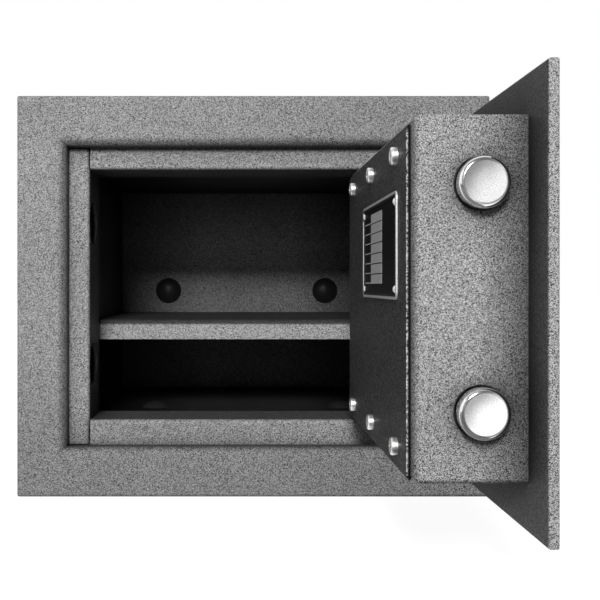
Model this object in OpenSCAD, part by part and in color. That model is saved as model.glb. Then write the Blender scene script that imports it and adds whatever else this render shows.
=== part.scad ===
// Small double-walled floor safe with one hinged door, shown with the door swung open.
// Lengths are millimetres. X runs to the right, Y to the back and Z up.
// The origin is the middle of the underside.

/* [Cabinet] */
// Width across the outer sides
cabinet_w = 350; // [345:1:400]
// Height from the underside to the top
cabinet_h = 297; // [290:1:340]
// Depth from the front face to the back
cabinet_d = 300; // [270:1:380]
// Thickness of the outer steel sheet
shell_t = 2; // [1.5:0.1:2.4]
// Radius of the outer corners and front edges
corner_r = 2.5; // [1:0.1:4]
// Width of the front border at the bolt side
border_left = 37; // [34:0.5:44]
// Width of the front border at the hinge side
border_right = 40.2; // [36:0.1:48]
// Width of the front border above the door
border_top = 37.3; // [34:0.1:44]
// Width of the front border below the door
border_bottom = 37.3; // [34:0.1:44]
// Radius of the rolled lip round the rebate
lip_r = 5; // [4:0.1:6]
// Depth of the rebate from the front face to the seat
seat_depth = 9.5; // [9.2:0.1:11]

/* [Seat frame] */
// Thickness of the seat frame's sheet
frame_t = 2; // [1.5:0.1:2.5]
// Width of the seat at each side
stile_w = 15.2; // [14:0.1:18]
// Width of the seat above the opening
top_rail_w = 16.2; // [14:0.1:20]
// Width of the seat below the opening
bottom_rail_w = 18.4; // [15:0.1:22]
// Depth of the frame from its seat to its back flange
frame_depth = 47.5; // [46:0.5:60]
// Outer radius of the frame's bends
frame_bend_r = 3; // [2.6:0.1:3.6]
// Gap at the seams between the stiles, the rails and the rebate
seam_gap = 0.6; // [0.3:0.1:1]
// Diameter of the two bolt holes in the bolt-side stile
bolt_hole_d = 33; // [29:0.5:34]

/* [Interior] */
// Thickness of the liner's sheet
liner_t = 1.5; // [1:0.1:2]
// Set-back of the liner's sides behind the opening
liner_step_side = 7.7; // [5:0.1:10]
// Set-back of the liner's ceiling behind the opening
liner_step_top = 8.5; // [5:0.1:12]
// Set-back of the liner's floor behind the opening
liner_step_floor = 5; // [4:0.1:8]
// Thickness of the wall behind the compartment
back_wall = 37; // [25:1:60]
// Height of the shelf's top above the liner's floor
shelf_rise = 78.2; // [60:0.1:100]
// Thickness of the shelf's sheet
shelf_t = 1.5; // [1.2:0.1:2]
// Height of the shelf's front lip
shelf_lip = 16; // [10:0.5:20]
// Outer radius of the shelf's front bend
shelf_bend_r = 3.4; // [2.6:0.1:5]
// Set-back of the shelf behind the closed door's cover
shelf_setback = 1.5; // [1:0.5:10]
// Gap between the shelf and the liner
shelf_gap = 0.4; // [0.2:0.1:0.5]
// Leg length of the shelf's angle brackets
bracket_leg = 12; // [8:0.5:16]
// Thickness of the shelf's angle brackets
bracket_t = 1.6; // [1.2:0.1:2.5]

/* [Anchors] */
// Distance between the two anchor holes of a pair
anchor_spacing = 161.6; // [120:0.1:180]
// Diameter of each anchor hole in the outer sheet
anchor_d = 12; // [8:0.5:13]
// Height of the back pair above the underside
back_anchor_z = 151; // [145:0.5:200]
// Distance of the base pair behind the front face
base_anchor_y = 122; // [100:1:180]
// Outer diameter of the sleeves through the filling
sleeve_d = 18; // [16:0.5:22]
// Bore of the sleeves
sleeve_bore = 14; // [13.5:0.1:15]
// Diameter of the plugs' domes
plug_d = 26; // [22:0.5:30]
// Height of the plugs' domes
plug_h = 4.6; // [3:0.1:7]
// Length of the plugs' stems
plug_stem = 12; // [8:0.5:14]

/* [Door] */
// Thickness of the door plate
door_t = 5.5; // [5:0.1:6]
// Radius of the door plate's edges
door_edge_r = 1.2; // [1:0.1:2.3]
// Gap round the free sides of the door plate
door_gap = 1; // [0.8:0.1:2]
// Distance of the hinge axis from the rebate's side
hinge_side = 7.3; // [7:0.1:9]
// Depth of the hinge axis behind the front face
hinge_depth = 4.5; // [4.4:0.1:4.6]
// Overhang of the door plate past the hinge axis
hinge_overhang = 4.5; // [4:0.1:4.5]
// Diameter of the hinge pins
hinge_pin_d = 4; // [3:0.1:4]
// Height of the hinge lugs
lug_h = 14; // [10:0.5:18]
// Radius of the hinge lugs
lug_r = 4; // [3.4:0.1:4.2]
// Length of each hinge pin beyond its lug
pin_reach = 9; // [7:0.5:10]

/* [Boltwork box] */
// Gap from the opening to the lock face of the box
lock_gap = 12.7; // [12.2:0.1:15]
// Gap from the opening to the hinge side of the box
hinge_side_gap = 9; // [5:0.1:15]
// Gap from the opening to the top of the box
top_gap = 5.2; // [3:0.1:10]
// Gap from the opening to the underside of the box
bottom_gap = 6.4; // [3:0.1:10]
// Depth of the box's cover side behind the front face
box_depth = 61.9; // [56:0.1:64]
// Thickness of the box's sheet
box_t = 1.5; // [1:0.1:2]
// Outer radius of the box's cover-side edges
box_edge_r = 6; // [3:0.5:6]
// Width of the flange that carries the cover
box_flange = 19; // [18:0.5:24]
// Thickness of the cover plate
cover_t = 1.1; // [0.8:0.1:2]
// Inset of the cover at the lock face and the hinge side
cover_inset_x = 4.6; // [2:0.1:6]
// Inset of the cover at the top
cover_inset_top = 5.2; // [2:0.1:6]
// Inset of the cover at the bottom
cover_inset_bottom = 2; // [2:0.1:6]
// Distance between the cover screws of a row
screw_pitch = 80; // [60:1:90]
// Distance of the screw rows from the cover's edges
screw_inset = 10.4; // [8:0.1:11]
// Thread diameter of the cover screws
screw_d = 5; // [4:0.1:5]
// Diameter of the cover screws' heads
screw_head_d = 9.3; // [8:0.1:10]
// Height of the cover screws' heads
screw_head_h = 3.4; // [2.4:0.1:3.6]

/* [Data plate] */
// Width of the plate
label_w = 117.4; // [80:0.1:140]
// Height of the plate
label_h = 55.8; // [40:0.1:80]
// Distance of the plate from the cover's lock-side edge
label_in = 22.9; // [10:0.1:40]
// Distance of the plate from the cover's top edge
label_drop = 28; // [18:0.1:60]
// Thickness of the plate
label_t = 0.8; // [0.5:0.1:1.5]
// Width of the plate's raised rim
label_rim = 2.2; // [1:0.1:4]
// Radius of the plate's corners
label_r = 4; // [2:0.1:6]
// Number of blank fields on the plate
field_count = 7; // [1:1:10]
// Diameter of the plate's rivets
rivet_d = 4; // [3:0.1:5]

/* [Bolts] */
// Diameter of the two bolts
bolt_d = 25; // [20:0.5:25]
// Length of the bolts
bolt_len = 70; // [50:1:80]
// How far the withdrawn bolts stand out of the lock face
bolt_proud = 9; // [4:0.5:9]
// Travel of the bolts
bolt_travel = 10; // [8:0.5:12]
// Rounding of the bolts' ends
bolt_tip_r = 2.5; // [1:0.1:4]
// Depth of the bolts' axes behind the front face
bolt_depth = 28.2; // [26:0.1:30]
// Distance of the upper bolt's axis from the top of the box
bolt_in_top = 33; // [28:0.1:50]
// Distance of the lower bolt's axis from the underside of the box
bolt_in_bottom = 34; // [28:0.1:50]

/* [Handle] */
// Distance of the spindle from the lock face
spindle_in = 88; // [86:1:110]
// Diameter of the spindle
spindle_d = 10; // [8:0.5:11]
// Diameter of the knob
knob_d = 38; // [30:1:44]
// Length of the knob
knob_len = 30; // [20:1:34]
// Number of finger flutes round the knob
flute_count = 8; // [3:1:12]
// Radius of the crank that drives the bolts
crank_r = 10; // [8:0.5:12]
// Diameter of the crank pin
crank_pin_d = 6; // [4:0.5:6]

/* [Key lock] */
// Distance of the key plug below the spindle
key_drop = 45; // [44:1:54]
// Diameter of the key plug
key_plug_d = 12; // [11:0.1:13]
// Travel of the lock bolt
lock_travel = 6; // [4:0.5:6]
// Width of the lock bolt's stem
lock_stem_w = 6; // [4:0.5:6.5]

/* [Clearances] */
// Radial clearance of a running fit
run_fit = 0.05; // [0.02:0.01:0.1]
// Clearance at each side of a sliding or driven piece
slide_gap = 0.2; // [0.15:0.05:0.3]

/* [Hidden] */
$fn = 64;
// How far every cut runs past the face that it opens
overrun = 1;
// How far the door stands open
door_open = 90;
// Half of the turn of the key plug
key_half_turn = 45;

// Outline of the cabinet, its rebate, its opening and its compartment
half_w = cabinet_w / 2;
rebate_x0 = border_left - half_w;
rebate_x1 = half_w - border_right;
rebate_z0 = border_bottom;
rebate_z1 = cabinet_h - border_top;
mouth_x = (rebate_x0 + rebate_x1) / 2;
open_x0 = rebate_x0 + stile_w;
open_x1 = rebate_x1 - stile_w;
open_z0 = rebate_z0 + bottom_rail_w;
open_z1 = rebate_z1 - top_rail_w;
frame_end = seat_depth + frame_depth;
room_x0 = open_x0 - liner_step_side;
room_x1 = open_x1 + liner_step_side;
room_z0 = open_z0 - liner_step_floor;
room_z1 = open_z1 + liner_step_top;
room_end = cabinet_d - back_wall;
panel_y0 = cabinet_d - shell_t;
stem_gap = 0.4;
anchor_x0 = mouth_x - anchor_spacing / 2;
anchor_x1 = mouth_x + anchor_spacing / 2;
plug_stem_d = sleeve_bore - 2 * stem_gap;

// Hinge blocks that fill the rebate's corners behind the front sheet
block_w = 14;
block_h = 12;
block_d = 12;
hinge_x = rebate_x1 - hinge_side;
pin_bore_r = hinge_pin_d / 2 + run_fit;
washer_t = door_gap - run_fit;
washer_r = 3.4;

// Door plate
door_x0 = rebate_x0 + door_gap;
door_x1 = hinge_x + hinge_overhang;
door_z0 = rebate_z0 + door_gap;
door_z1 = rebate_z1 - door_gap;
lug_web = 6;
pin_bite = 12;

// Boltwork box, its cover and the shelf that clears it
box_x0 = open_x0 + lock_gap;
box_x1 = open_x1 - hinge_side_gap;
box_z0 = open_z0 + bottom_gap;
box_z1 = open_z1 - top_gap;
cover_x0 = box_x0 + cover_inset_x;
cover_x1 = box_x1 - cover_inset_x;
cover_z0 = box_z0 + cover_inset_bottom;
cover_z1 = box_z1 - cover_inset_top;
cover_y1 = box_depth + cover_t;
shelf_z = room_z0 + shelf_rise;
shelf_front = cover_y1 + shelf_setback;
cover_corner_r = 1.5;
screw_x = (cover_x0 + cover_x1) / 2;
screw_gaps = floor((cover_x1 - cover_x0 - 2 * screw_inset) / screw_pitch);
screw_xs = [for (i = [0 : screw_gaps]) screw_x + (i - screw_gaps / 2) * screw_pitch];
screw_zs = [cover_z0 + screw_inset, cover_z1 - screw_inset];
screw_edge_r = 1.2;
recess_w = 1.1;
recess_len = 5;
recess_depth = 1.5;
nut_r = 4.2;
nut_h = 4;
thread_reach = 12;

// Data plate
label_x0 = cover_x0 + label_in;
label_x1 = label_x0 + label_w;
label_z1 = cover_z1 - label_drop;
label_z0 = label_z1 - label_h;
label_floor_t = label_t / 2;
field_t = label_t / 4;
field_x_share = 0.39;
field_w_share = 0.33;
field_z_share = 0.15;
field_h_share = 0.75;
field_fill_share = 0.9;
rule_w_share = 0.2;
rule_h_share = 0.012;
rivet_in = 5.4;
rivet_head_h = 1.2;

// Bolts and their carriage
bolt_r = bolt_d / 2;
bolt_zs = [box_z0 + bolt_in_bottom, box_z1 - bolt_in_top];
bolt_mid_z = (bolt_zs[0] + bolt_zs[1]) / 2;
bolt_tip_x = box_x0 - bolt_proud;
bolt_tail_x = bolt_tip_x + bolt_len;
face_gap = 0.7;
guide_wall = 4.5;
guide_r = bolt_r + guide_wall;
guide_len = 12;
bar_t = 6;
bar_half = 15;
bar_over = 14;
bar_y0 = bolt_depth - bar_half;
cap_r = 6.5;
cap_h = 5;
cap_thread_r = 4;
cap_reach = 15;
support_w = 24;
support_h = 20;

// Spindle, crank and knob
spindle_r = spindle_d / 2;
spindle_x = box_x0 + spindle_in;
spindle_z = bolt_mid_z;
bush_wall = 3;
bush_flange = 3;
bush_flange_t = 2;
arm_gap = 0.5;
arm_t = 5;
arm_y0 = door_t + bush_flange_t + arm_gap;
arm_y1 = arm_y0 + arm_t;
arm_wall = 3;
crank_pin_over = 1.2;
clip_t = 1.2;
clip_groove = 0.7;
clip_w = 2.4;
spindle_tail = 1.2;
spindle_end = arm_y1 + clip_t + spindle_tail;
crank_half_turn = asin(bolt_travel / 2 / crank_r);
crank_pin_r = crank_pin_d / 2;
tab_t = 4;
tab_gap = 2.9;
tab_y0 = spindle_end + tab_gap;
tab_y1 = tab_y0 + tab_t;
tab_over = 20;
tab_rise = 22;
tab_drop = 20;
rosette_rim = 3;
rosette_r = knob_d / 2 + rosette_rim;
rosette_t = 3;
knob_gap = 0.4;
knob_r = knob_d / 2;
knob_edge_r = 4;
knob_neck_r = 14;
knob_neck_h = 4;
knob_bore_share = 0.7;
flute_r = 4.5;
flute_in = 1.6;
mark_w = 1.4;
mark_d = 0.8;

// Key lock
key_x = spindle_x;
key_z = spindle_z - key_drop;
key_plug_r = key_plug_d / 2;
key_arm = lock_travel / 2 / sin(key_half_turn);
key_pin_r = 1.5;
lock_bolt_t = 3;
lock_y0 = tab_y0 + (tab_t - lock_bolt_t) / 2;
lock_y1 = lock_y0 + lock_bolt_t;
lock_body_half = 8;
lock_body_h = 6;
lock_tip_gap = 0.5;
case_wall = 6;
case_back = 4.5;
case_half_w = lock_body_half + case_wall;
case_half_h = lock_travel / 2 + lock_body_h + case_wall + lock_tip_gap;
case_y1 = lock_y1 + case_back;
case_screw_r = 2;
case_screw_head_r = 3.6;
case_screw_head_h = 2.4;
case_screw_in = 3;
case_screw_bite = 3;
escutcheon_r = 16;
escutcheon_t = 3;
plug_recess = 0.6;
keyhole_w = 1.8;
keyhole_h = 8;
keyhole_depth = 8;
swing_r = 9;
swing_t = 1.6;
swing_gap = 0.2;
swing_ear_r = 3.6;
swing_pivot_up = 11.5;
swing_pin_r = 1.5;
swing_head_r = 2.8;
swing_head_h = 1;

// Placing: the cabinet's front face stands at Y = -cabinet_d / 2
module in_cabinet() {
    translate([0, -cabinet_d / 2, 0]) children();
}

// Placing: a piece of the closed door, swung open about the hinge axis
module on_door() {
    in_cabinet()
        translate([hinge_x, hinge_depth, 0])
            rotate([0, 0, door_open])
                translate([-hinge_x, -hinge_depth, 0])
                    children();
}

// Extrusion along X of a figure drawn in depth and height
module along_x(x0, x1) {
    translate([x0, 0, 0])
        rotate([90, 0, 90])
            linear_extrude(height = x1 - x0)
                children();
}

// Extrusion along Y of a figure drawn in width and height
module along_y(y0, y1) {
    translate([0, y1, 0])
        rotate([90, 0, 0])
            linear_extrude(height = y1 - y0)
                children();
}

// Extrusion along Z of a figure drawn in width and depth
module along_z(z0, z1) {
    translate([0, 0, z0])
        linear_extrude(height = z1 - z0)
            children();
}

// Rectangle between two corners
module rect(u0, v0, u1, v1) {
    translate([u0, v0]) square([u1 - u0, v1 - v0]);
}

// Rectangle between two corners, all four rounded
module round_rect(u0, v0, u1, v1, r) {
    rect(u0 + r, v0, u1 - r, v1);
    rect(u0, v0 + r, u1, v1 - r);
    for (u = [u0 + r, u1 - r], v = [v0 + r, v1 - r])
        translate([u, v]) circle(r);
}

// Rectangle with its two corners at the lower u rounded
module round_start(u0, v0, u1, v1, r) {
    rect(u0 + r, v0, u1, v1);
    rect(u0, v0 + r, u1, v1 - r);
    for (v = [v0 + r, v1 - r])
        translate([u0 + r, v]) circle(r);
}

// Rectangle with its two corners at the higher v rounded
module round_top(u0, v0, u1, v1, r) {
    rect(u0, v0, u1, v1 - r);
    rect(u0 + r, v0, u1 - r, v1);
    for (u = [u0 + r, u1 - r])
        translate([u, v1 - r]) circle(r);
}

// Quarter ring of sheet, thickness t, outer radius r, its centre at [r, r]
module sheet_bend(r, t) {
    intersection() {
        square([r, r]);
        translate([r, r]) difference() {
            circle(r);
            circle(r - t);
        }
    }
}

// Bent sheet drawn in depth and outward: the lip from inside the border to the seat
module lip_profile() {
    rect(0, lip_r, shell_t, lip_r + overrun);
    sheet_bend(lip_r, shell_t);
    rect(lip_r, 0, seat_depth, shell_t);
}

// Bent sheet drawn in depth and outward: seat, bend, return leg and back flange
module frame_profile(seat_w, flange_reach) {
    rect(seat_depth, frame_bend_r, seat_depth + frame_t, seat_w + shell_t);
    translate([seat_depth, 0]) sheet_bend(frame_bend_r, frame_t);
    rect(seat_depth + frame_bend_r, 0, frame_end, frame_t);
    rect(frame_end - frame_t, 0, frame_end, flange_reach);
}

// Turns a figure drawn in depth and outward so that outward points along -X
module outward_left() {
    rotate(90) children();
}

// Turns a figure drawn in depth and outward so that outward points along +X
module outward_right() {
    mirror([1, 0]) rotate(90) children();
}

// Plain rod along Y at a place in width and height
module rod_y(x, z, r, y0, y1) {
    along_y(y0, y1) translate([x, z]) circle(r);
}

// Plain rod along X at a place in depth and height
module rod_x(y, z, r, x0, x1) {
    along_x(x0, x1) translate([y, z]) circle(r);
}

// Plain rod along Z at a place in width and depth
module rod_z(x, y, r, z0, z1) {
    along_z(z0, z1) translate([x, y]) circle(r);
}

// Block between two corners
module block(x0, y0, z0, x1, y1, z1) {
    translate([x0, y0, z0]) cube([x1 - x0, y1 - y0, z1 - z0]);
}

// Pan head that stands along +Z, with a cross recess
module pan_head(r, h, edge, cross_w, cross_len, cross_depth) {
    difference() {
        rotate_extrude() {
            square([r, h - edge]);
            square([r - edge, h]);
            translate([r - edge, h - edge]) intersection() {
                circle(edge);
                square([edge, edge]);
            }
        }
        for (a = [0, 90])
            rotate([0, 0, a])
                translate([-cross_len / 2, -cross_w / 2, h - cross_depth])
                    cube([cross_len, cross_w, cross_depth + overrun]);
    }
}

// Spherical dome that stands along +Z on a disc of radius r
module dome(r, h) {
    ball_r = (r * r + h * h) / (2 * h);
    rotate_extrude()
        intersection() {
            translate([0, h - ball_r]) circle(ball_r, $fn = 2 * $fn);
            square([r, h]);
        }
}

// Cabinet shell: four walls, the front border and the rolled lip of the rebate
module outer_casing() {
    color("dimgray")
        in_cabinet()
            difference() {
                union() {
                    difference() {
                        intersection() {
                            along_y(0, cabinet_d)
                                round_rect(-half_w, 0, half_w, cabinet_h, corner_r);
                            along_x(-half_w, half_w)
                                round_start(0, 0, cabinet_d, cabinet_h, corner_r);
                            along_z(0, cabinet_h)
                                rotate(90) round_start(0, -half_w, cabinet_d, half_w, corner_r);
                        }
                        block(shell_t - half_w, shell_t, shell_t,
                              half_w - shell_t, cabinet_d + overrun, cabinet_h - shell_t);
                        along_y(-overrun, shell_t + overrun)
                            rect(rebate_x0 - lip_r, rebate_z0 - lip_r,
                                 rebate_x1 + lip_r, rebate_z1 + lip_r);
                    }
                    along_x(rebate_x0 - lip_r, rebate_x1 + lip_r)
                        translate([0, rebate_z1]) lip_profile();
                    along_x(rebate_x0 - lip_r, rebate_x1 + lip_r)
                        translate([0, rebate_z0]) mirror([0, 1]) lip_profile();
                    along_z(rebate_z0 - lip_r, rebate_z1 + lip_r)
                        translate([rebate_x0, 0]) outward_left() lip_profile();
                    along_z(rebate_z0 - lip_r, rebate_z1 + lip_r)
                        translate([rebate_x1, 0]) outward_right() lip_profile();
                }
                for (z = [rebate_z0 - lip_r, rebate_z1])
                    block(rebate_x1 - block_w, -overrun, z,
                          rebate_x1, seat_depth + overrun, z + lip_r);
                for (x = [anchor_x0, anchor_x1])
                    rod_z(x, base_anchor_y, anchor_d / 2, -overrun, shell_t + overrun);
            }
}

// Sheet that closes the back, with two anchor holes
module back_panel() {
    color("dimgray")
        in_cabinet()
            difference() {
                block(shell_t - half_w, panel_y0, shell_t,
                      half_w - shell_t, cabinet_d, cabinet_h - shell_t);
                for (x = [anchor_x0, anchor_x1])
                    rod_y(x, back_anchor_z, anchor_d / 2, panel_y0 - overrun, cabinet_d + overrun);
            }
}

// Seat and jamb at the bolt side, with a hole for each bolt
module left_stile() {
    color("gray")
        in_cabinet()
            difference() {
                along_z(rebate_z0 + seam_gap, rebate_z1 - seam_gap)
                    translate([open_x0, 0])
                        outward_left()
                            frame_profile(stile_w, liner_step_side + liner_t);
                for (z = bolt_zs)
                    rod_x(bolt_depth, z, bolt_hole_d / 2,
                          open_x0 - frame_t - overrun, open_x0 + overrun);
            }
}

// Seat and jamb at the hinge side
module right_stile() {
    color("gray")
        in_cabinet()
            along_z(rebate_z0 + seam_gap, rebate_z1 - seam_gap)
                translate([open_x1, 0])
                    outward_right()
                        frame_profile(stile_w, liner_step_side + liner_t);
}

// Seat and jamb above the opening
module top_rail() {
    color("gray")
        in_cabinet()
            along_x(open_x0 + seam_gap, open_x1 - seam_gap)
                translate([0, open_z1])
                    frame_profile(top_rail_w, liner_step_top + liner_t);
}

// Seat and jamb below the opening
module bottom_rail() {
    color("gray")
        in_cabinet()
            along_x(open_x0 + seam_gap, open_x1 - seam_gap)
                translate([0, open_z0])
                    mirror([0, 1])
                        frame_profile(bottom_rail_w, liner_step_floor + liner_t);
}

// Sheet box round the compartment, with a hole for each plug's stem
module inner_liner() {
    color("darkslategray")
        in_cabinet()
            difference() {
                block(room_x0 - liner_t, frame_end, room_z0 - liner_t,
                      room_x1 + liner_t, room_end + liner_t, room_z1 + liner_t);
                block(room_x0, frame_end - overrun, room_z0, room_x1, room_end, room_z1);
                for (x = [anchor_x0, anchor_x1]) {
                    rod_y(x, back_anchor_z, sleeve_bore / 2,
                          room_end - overrun, room_end + liner_t + overrun);
                    rod_z(x, base_anchor_y, sleeve_bore / 2,
                          room_z0 - liner_t - overrun, room_z0 + overrun);
                }
            }
}

// Mineral filling between the casing and the liner
module wall_fill() {
    color("lightgray")
        in_cabinet()
            difference() {
                block(shell_t - half_w, shell_t, shell_t,
                      half_w - shell_t, panel_y0, cabinet_h - shell_t);
                block(rebate_x0 - block_h, -overrun, rebate_z0 - block_h,
                      rebate_x1 + block_h, frame_end, rebate_z1 + block_h);
                block(room_x0 - liner_t, frame_end - overrun, room_z0 - liner_t,
                      room_x1 + liner_t, room_end + liner_t, room_z1 + liner_t);
                for (x = [anchor_x0, anchor_x1]) {
                    rod_y(x, back_anchor_z, sleeve_d / 2, room_end, cabinet_d);
                    rod_z(x, base_anchor_y, sleeve_d / 2, 0, room_z0);
                }
            }
}

// Loose shelf with a bent front lip, resting on its brackets
module shelf() {
    color("gray")
        in_cabinet()
            along_x(room_x0 + shelf_gap, room_x1 - shelf_gap) {
                rect(shelf_front + shelf_bend_r, shelf_z - shelf_t, room_end - shelf_gap, shelf_z);
                translate([shelf_front, shelf_z]) mirror([0, 1]) sheet_bend(shelf_bend_r, shelf_t);
                rect(shelf_front, shelf_z - shelf_lip, shelf_front + shelf_t, shelf_z - shelf_bend_r);
            }
}

// One angle under each end of the shelf
module shelf_brackets() {
    under_z = shelf_z - shelf_t;
    start_y = shelf_front + shelf_bend_r + bracket_leg / 2;
    color("darkslategray")
        in_cabinet()
            along_y(start_y, room_end - bracket_leg / 2) {
                rect(room_x0, under_z - bracket_leg, room_x0 + bracket_t, under_z);
                rect(room_x0, under_z - bracket_t, room_x0 + bracket_leg, under_z);
                rect(room_x1 - bracket_t, under_z - bracket_leg, room_x1, under_z);
                rect(room_x1 - bracket_leg, under_z - bracket_t, room_x1, under_z);
            }
}

// Tubes that carry the back anchors through the filling
module back_anchor_sleeves() {
    color("silver")
        in_cabinet()
            for (x = [anchor_x0, anchor_x1])
                along_y(room_end + liner_t, panel_y0)
                    translate([x, back_anchor_z])
                        difference() {
                            circle(sleeve_d / 2);
                            circle(sleeve_bore / 2);
                        }
}

// Tubes that carry the base anchors through the filling
module base_anchor_sleeves() {
    color("silver")
        in_cabinet()
            for (x = [anchor_x0, anchor_x1])
                along_z(shell_t, room_z0 - liner_t)
                    translate([x, base_anchor_y])
                        difference() {
                            circle(sleeve_d / 2);
                            circle(sleeve_bore / 2);
                        }
}

// Plug with a domed head that stands along +Z from the liner
module plug() {
    dome(plug_d / 2, plug_h);
    translate([0, 0, -plug_stem])
        cylinder(h = plug_stem, r = plug_stem_d / 2);
}

// Plugs in the back wall
module back_plugs() {
    color("black")
        in_cabinet()
            for (x = [anchor_x0, anchor_x1])
                translate([x, room_end, back_anchor_z])
                    rotate([90, 0, 0])
                        plug();
}

// Plugs in the floor
module floor_plugs() {
    color("black")
        in_cabinet()
            for (x = [anchor_x0, anchor_x1])
                translate([x, base_anchor_y, room_z0])
                    plug();
}

// Steel block with the lip's rounded nose, drawn in depth and outward
module hinge_block_profile() {
    translate([lip_r, lip_r])
        intersection() {
            circle(lip_r);
            rect(-lip_r, -lip_r, 0, 0);
        }
    rect(lip_r, 0, seat_depth, lip_r);
    rect(shell_t, lip_r, block_d, block_h);
    rect(lip_r, 0, seat_depth, block_h);
}

// Blocks that carry the hinge pins above and below the door
module hinge_blocks() {
    color("dimgray")
        in_cabinet()
            difference() {
                along_x(rebate_x1 - block_w, rebate_x1) {
                    translate([0, rebate_z1]) hinge_block_profile();
                    translate([0, rebate_z0]) mirror([0, 1]) hinge_block_profile();
                }
                rod_z(hinge_x, hinge_depth, pin_bore_r, rebate_z1 - overrun, rebate_z1 + pin_reach);
                rod_z(hinge_x, hinge_depth, pin_bore_r, rebate_z0 - pin_reach, rebate_z0 + overrun);
            }
}

// Thrust washers between the blocks and the lugs
module hinge_washers() {
    color("goldenrod")
        in_cabinet()
            for (z = [rebate_z0, rebate_z1 - washer_t])
                along_z(z, z + washer_t)
                    translate([hinge_x, hinge_depth])
                        difference() {
                            circle(washer_r);
                            circle(pin_bore_r);
                        }
}

// Door plate with rounded edges, notched for the hinge lugs
module door_plate() {
    color("gray")
        on_door()
            difference() {
                intersection() {
                    along_x(door_x0, door_x1)
                        round_rect(0, door_z0, door_t, door_z1, door_edge_r);
                    along_z(door_z0, door_z1)
                        round_rect(door_x0, 0, door_x1, door_t, door_edge_r);
                }
                for (z = [door_z0 - overrun, door_z1 - lug_h])
                    block(hinge_x - lug_web, -overrun, z,
                          door_x1 + overrun, door_t + overrun, z + lug_h + overrun);
                rod_y(spindle_x, spindle_z, spindle_r + bush_wall, -overrun, door_t + overrun);
                rod_y(key_x, key_z, key_plug_r + run_fit, -overrun, door_t + overrun);
                for (s = [-1, 1])
                    rod_y(key_x + s * (case_half_w - case_screw_in),
                          key_z + s * (case_half_h - case_screw_in),
                          case_screw_r, door_t - case_screw_bite, door_t + overrun);
            }
}

// Lugs that carry the hinge pins at the door plate's corners
module hinge_lugs() {
    color("gray")
        on_door()
            difference() {
                for (z = [door_z0, door_z1 - lug_h])
                    along_z(z, z + lug_h) {
                        translate([hinge_x, hinge_depth]) circle(lug_r);
                        rect(hinge_x - lug_web, 0, hinge_x, door_t);
                    }
                rod_z(hinge_x, hinge_depth, hinge_pin_d / 2, door_z0 - overrun, door_z0 + pin_bite);
                rod_z(hinge_x, hinge_depth, hinge_pin_d / 2, door_z1 - pin_bite, door_z1 + overrun);
            }
}

// Hinge pins, fixed in the lugs and turning in the blocks
module hinge_pins() {
    color("silver")
        on_door() {
            rod_z(hinge_x, hinge_depth, hinge_pin_d / 2,
                  door_z0 - pin_reach, door_z0 + pin_bite);
            rod_z(hinge_x, hinge_depth, hinge_pin_d / 2,
                  door_z1 - pin_bite, door_z1 + pin_reach);
        }
}

// Solid with rounded cover-side edges, inset from the box's outside
module box_solid(inset, near_y) {
    r = box_edge_r - inset;
    intersection() {
        along_x(box_x0 + inset, box_x1 - inset)
            mirror([1, 0]) round_start(inset - box_depth, box_z0 + inset, -near_y, box_z1 - inset, r);
        along_z(box_z0 + inset, box_z1 - inset)
            round_top(box_x0 + inset, near_y, box_x1 - inset, box_depth - inset, r);
    }
}

// Sheet box on the back of the door that holds the boltwork
module boltwork_box() {
    color("gray")
        on_door()
            difference() {
                box_solid(0, door_t);
                box_solid(box_t, door_t - overrun);
                block(box_x0 + box_flange, box_depth - box_t - overrun, box_z0 + box_flange,
                      box_x1 - box_flange, box_depth + overrun, box_z1 - box_flange);
                for (z = bolt_zs)
                    rod_x(bolt_depth, z, bolt_r + face_gap, box_x0 - overrun, box_x0 + box_t + overrun);
                for (x = screw_xs, z = screw_zs)
                    rod_y(x, z, screw_d / 2, box_depth - box_t - overrun, box_depth + overrun);
            }
}

// Black plate that covers the boltwork
module cover_plate() {
    color("black")
        on_door()
            difference() {
                along_y(box_depth, cover_y1)
                    round_rect(cover_x0, cover_z0, cover_x1, cover_z1, cover_corner_r);
                for (x = screw_xs, z = screw_zs)
                    rod_y(x, z, screw_d / 2, box_depth - overrun, cover_y1 + overrun);
            }
}

// Cross-head screws that hold the cover
module cover_screws() {
    color("silver")
        on_door()
            for (x = screw_xs, z = screw_zs) {
                translate([x, cover_y1, z])
                    rotate([-90, 0, 0])
                        pan_head(screw_head_d / 2, screw_head_h, screw_edge_r,
                                 recess_w, recess_len, recess_depth);
                rod_y(x, z, screw_d / 2, cover_y1 - thread_reach, cover_y1);
            }
}

// Press nuts behind the box's flange
module cover_nuts() {
    color("silver")
        on_door()
            for (x = screw_xs, z = screw_zs)
                along_y(box_depth - box_t - nut_h, box_depth - box_t)
                    translate([x, z])
                        difference() {
                            circle(nut_r);
                            circle(screw_d / 2);
                        }
}

// Places of the data plate's rivets
function rivet_places() = [
    for (x = [label_x0 + rivet_in, label_x1 - rivet_in], z = [label_z0 + rivet_in, label_z1 - rivet_in])
        [x, z]
];

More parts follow.
